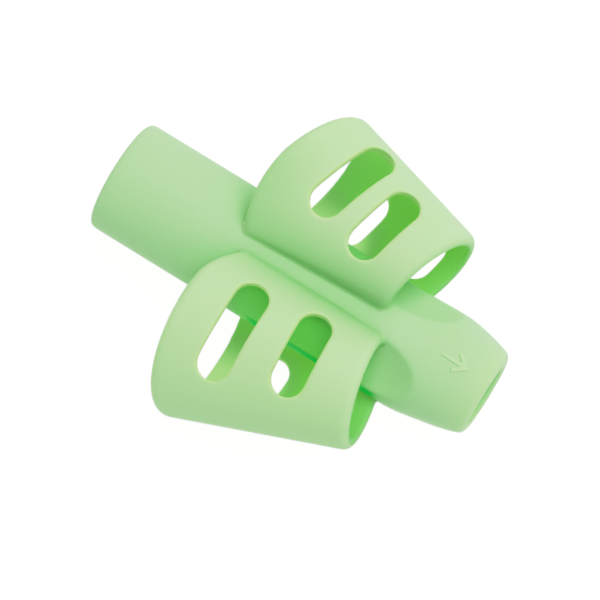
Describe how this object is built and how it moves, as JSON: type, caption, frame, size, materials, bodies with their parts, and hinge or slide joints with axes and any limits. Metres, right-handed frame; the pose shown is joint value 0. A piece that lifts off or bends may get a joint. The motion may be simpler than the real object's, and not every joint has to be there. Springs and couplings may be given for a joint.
{
  "type": "pencil grip",
  "caption": "Soft silicone pencil grip: a tube for the pencil with a tapered nose, a raised arrow, finger dishes and slotted finger cuffs that flex on the tube.",
  "frame": {"origin": "on the pencil bore's axis, halfway along the barrel", "axes": "+X along the bore to the writing end, +Y to the thumb cuff, +Z to the arrow side, between the two cuffs"},
  "size_m": [0.0448, 0.0371, 0.0195],
  "materials": {
    "silicone": "satin pastel green silicone, slightly translucent"
  },
  "bodies": {
    "barrel": {"barrel": "silicone", "direction_arrow": "silicone", "thumb_top_web": "silicone", "thumb_under_web": "silicone", "index_top_web": "silicone", "index_under_web": "silicone"},
    "thumb_cuff": {"thumb_cuff": "silicone"},
    "index_cuff": {"index_cuff": "silicone"}
  },
  "joints": [
    {"name": "thumb_cuff_flex", "type": "hinge", "parent": "barrel", "child": "thumb_cuff", "pos_m": [0, 0, 0], "axis": [1, 0, 0], "range_deg": [-12, 7], "stiffness_Nm_per_rad": 0.02, "deforming": ["thumb_top_web", "thumb_under_web"]},
    {"name": "index_cuff_flex", "type": "hinge", "parent": "barrel", "child": "index_cuff", "pos_m": [0, 0, 0], "axis": [-1, 0, 0], "range_deg": [-12, 7], "stiffness_Nm_per_rad": 0.02, "deforming": ["index_top_web", "index_under_web"]}
  ]
}
